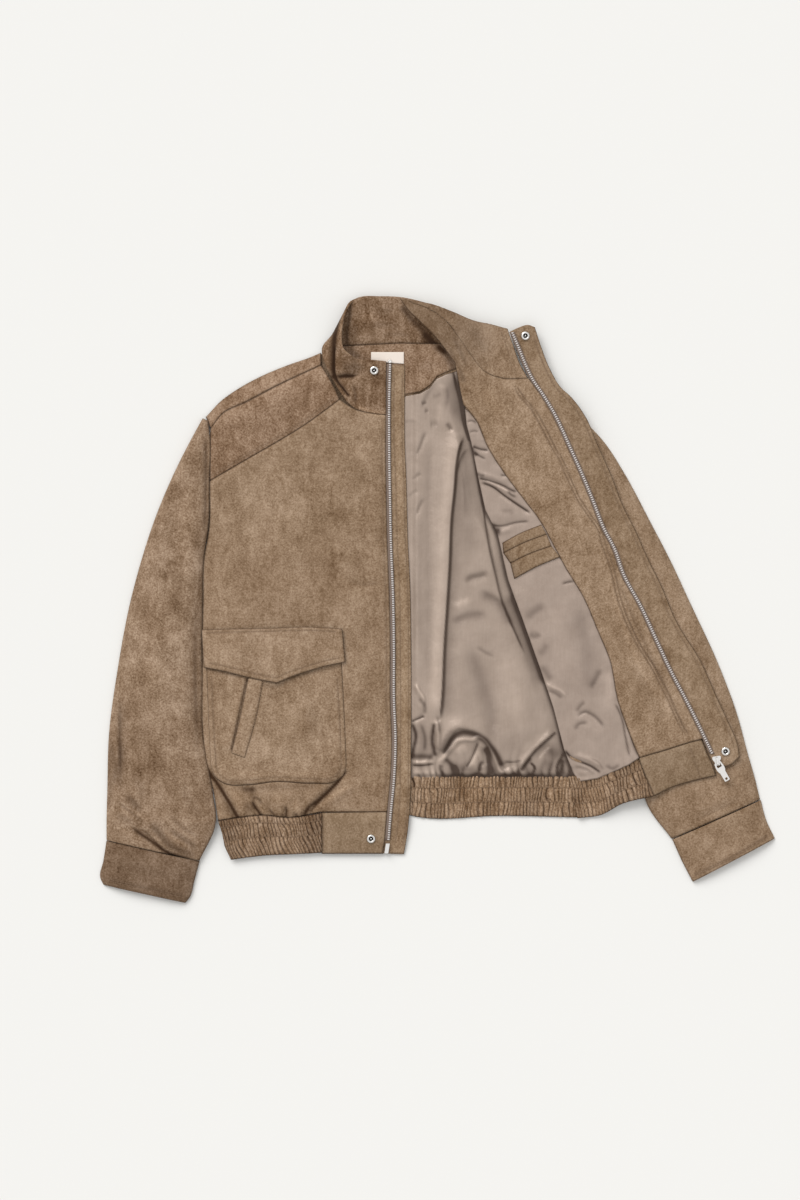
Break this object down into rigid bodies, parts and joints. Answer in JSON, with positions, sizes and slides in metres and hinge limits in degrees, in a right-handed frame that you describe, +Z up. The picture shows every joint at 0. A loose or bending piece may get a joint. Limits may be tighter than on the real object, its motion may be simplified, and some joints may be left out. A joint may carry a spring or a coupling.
{
  "type": "suede jacket",
  "caption": "Suede zip-front blouson laid flat, right front closed, left front opened out to show its satin lining, with a flap pocket, elastic hem and stand collar.",
  "frame": {"origin": "centre of the laid jacket's outline, on the surface it lies on", "axes": "+X towards the viewer's right, which is the wearer's left; +Y towards the collar; +Z up from the surface"},
  "size_m": [0.8628, 0.774, 0.0233],
  "materials": {
    "suede": "faux suede with a short matt nap, mottled",
    "satin": "satin weave lining, soft sheen",
    "woven_label": "plain woven label, blank",
    "zip_tape": "woven polyester tape",
    "zip_metal": "nickel-plated, bright"
  },
  "bodies": {
    "garment": {"back": "suede", "collar_back": "suede", "collar_left": "suede", "collar_right": "suede", "cuff_left": "suede", "cuff_right": "suede", "facing_left": "suede", "front_left": "suede", "front_right": "suede", "hem_back": "suede", "hem_elastic_left": "suede", "hem_elastic_right": "suede", "hem_tab_left": "suede", "hem_tab_right": "suede", "inner_welt_lower": "suede", "inner_welt_middle": "suede", "inner_welt_upper": "suede", "lining_back": "satin", "lining_left": "satin", "neck_facing": "suede", "neck_label": "woven_label", "placket_left": "suede", "placket_right": "suede", "pocket_flap": "suede", "pocket_patch": "suede", "pocket_welt": "suede", "shoulder_right": "suede", "sleeve_left": "suede", "sleeve_right": "suede", "snap_collar_right": "zip_metal", "snap_hem_right": "zip_metal", "snap_placket_bottom": "zip_metal", "snap_placket_top": "zip_metal", "yoke_right": "suede", "zip_chain_left": "zip_metal", "zip_chain_right": "zip_metal", "zip_pin_right": "zip_metal", "zip_slider": "zip_metal", "zip_stop_right": "zip_metal", "zip_tape_left": "zip_tape", "zip_tape_right": "zip_tape"},
    "zip_pull": {"zip_pull": "zip_metal"}
  },
  "joints": [
    {"name": "pull_hinge", "type": "hinge", "parent": "garment", "child": "zip_pull", "pos_m": [0.35652, -0.20795, 0.0208], "axis": [-0.866, -0.5, 0], "range_deg": [0, 130]}
  ]
}
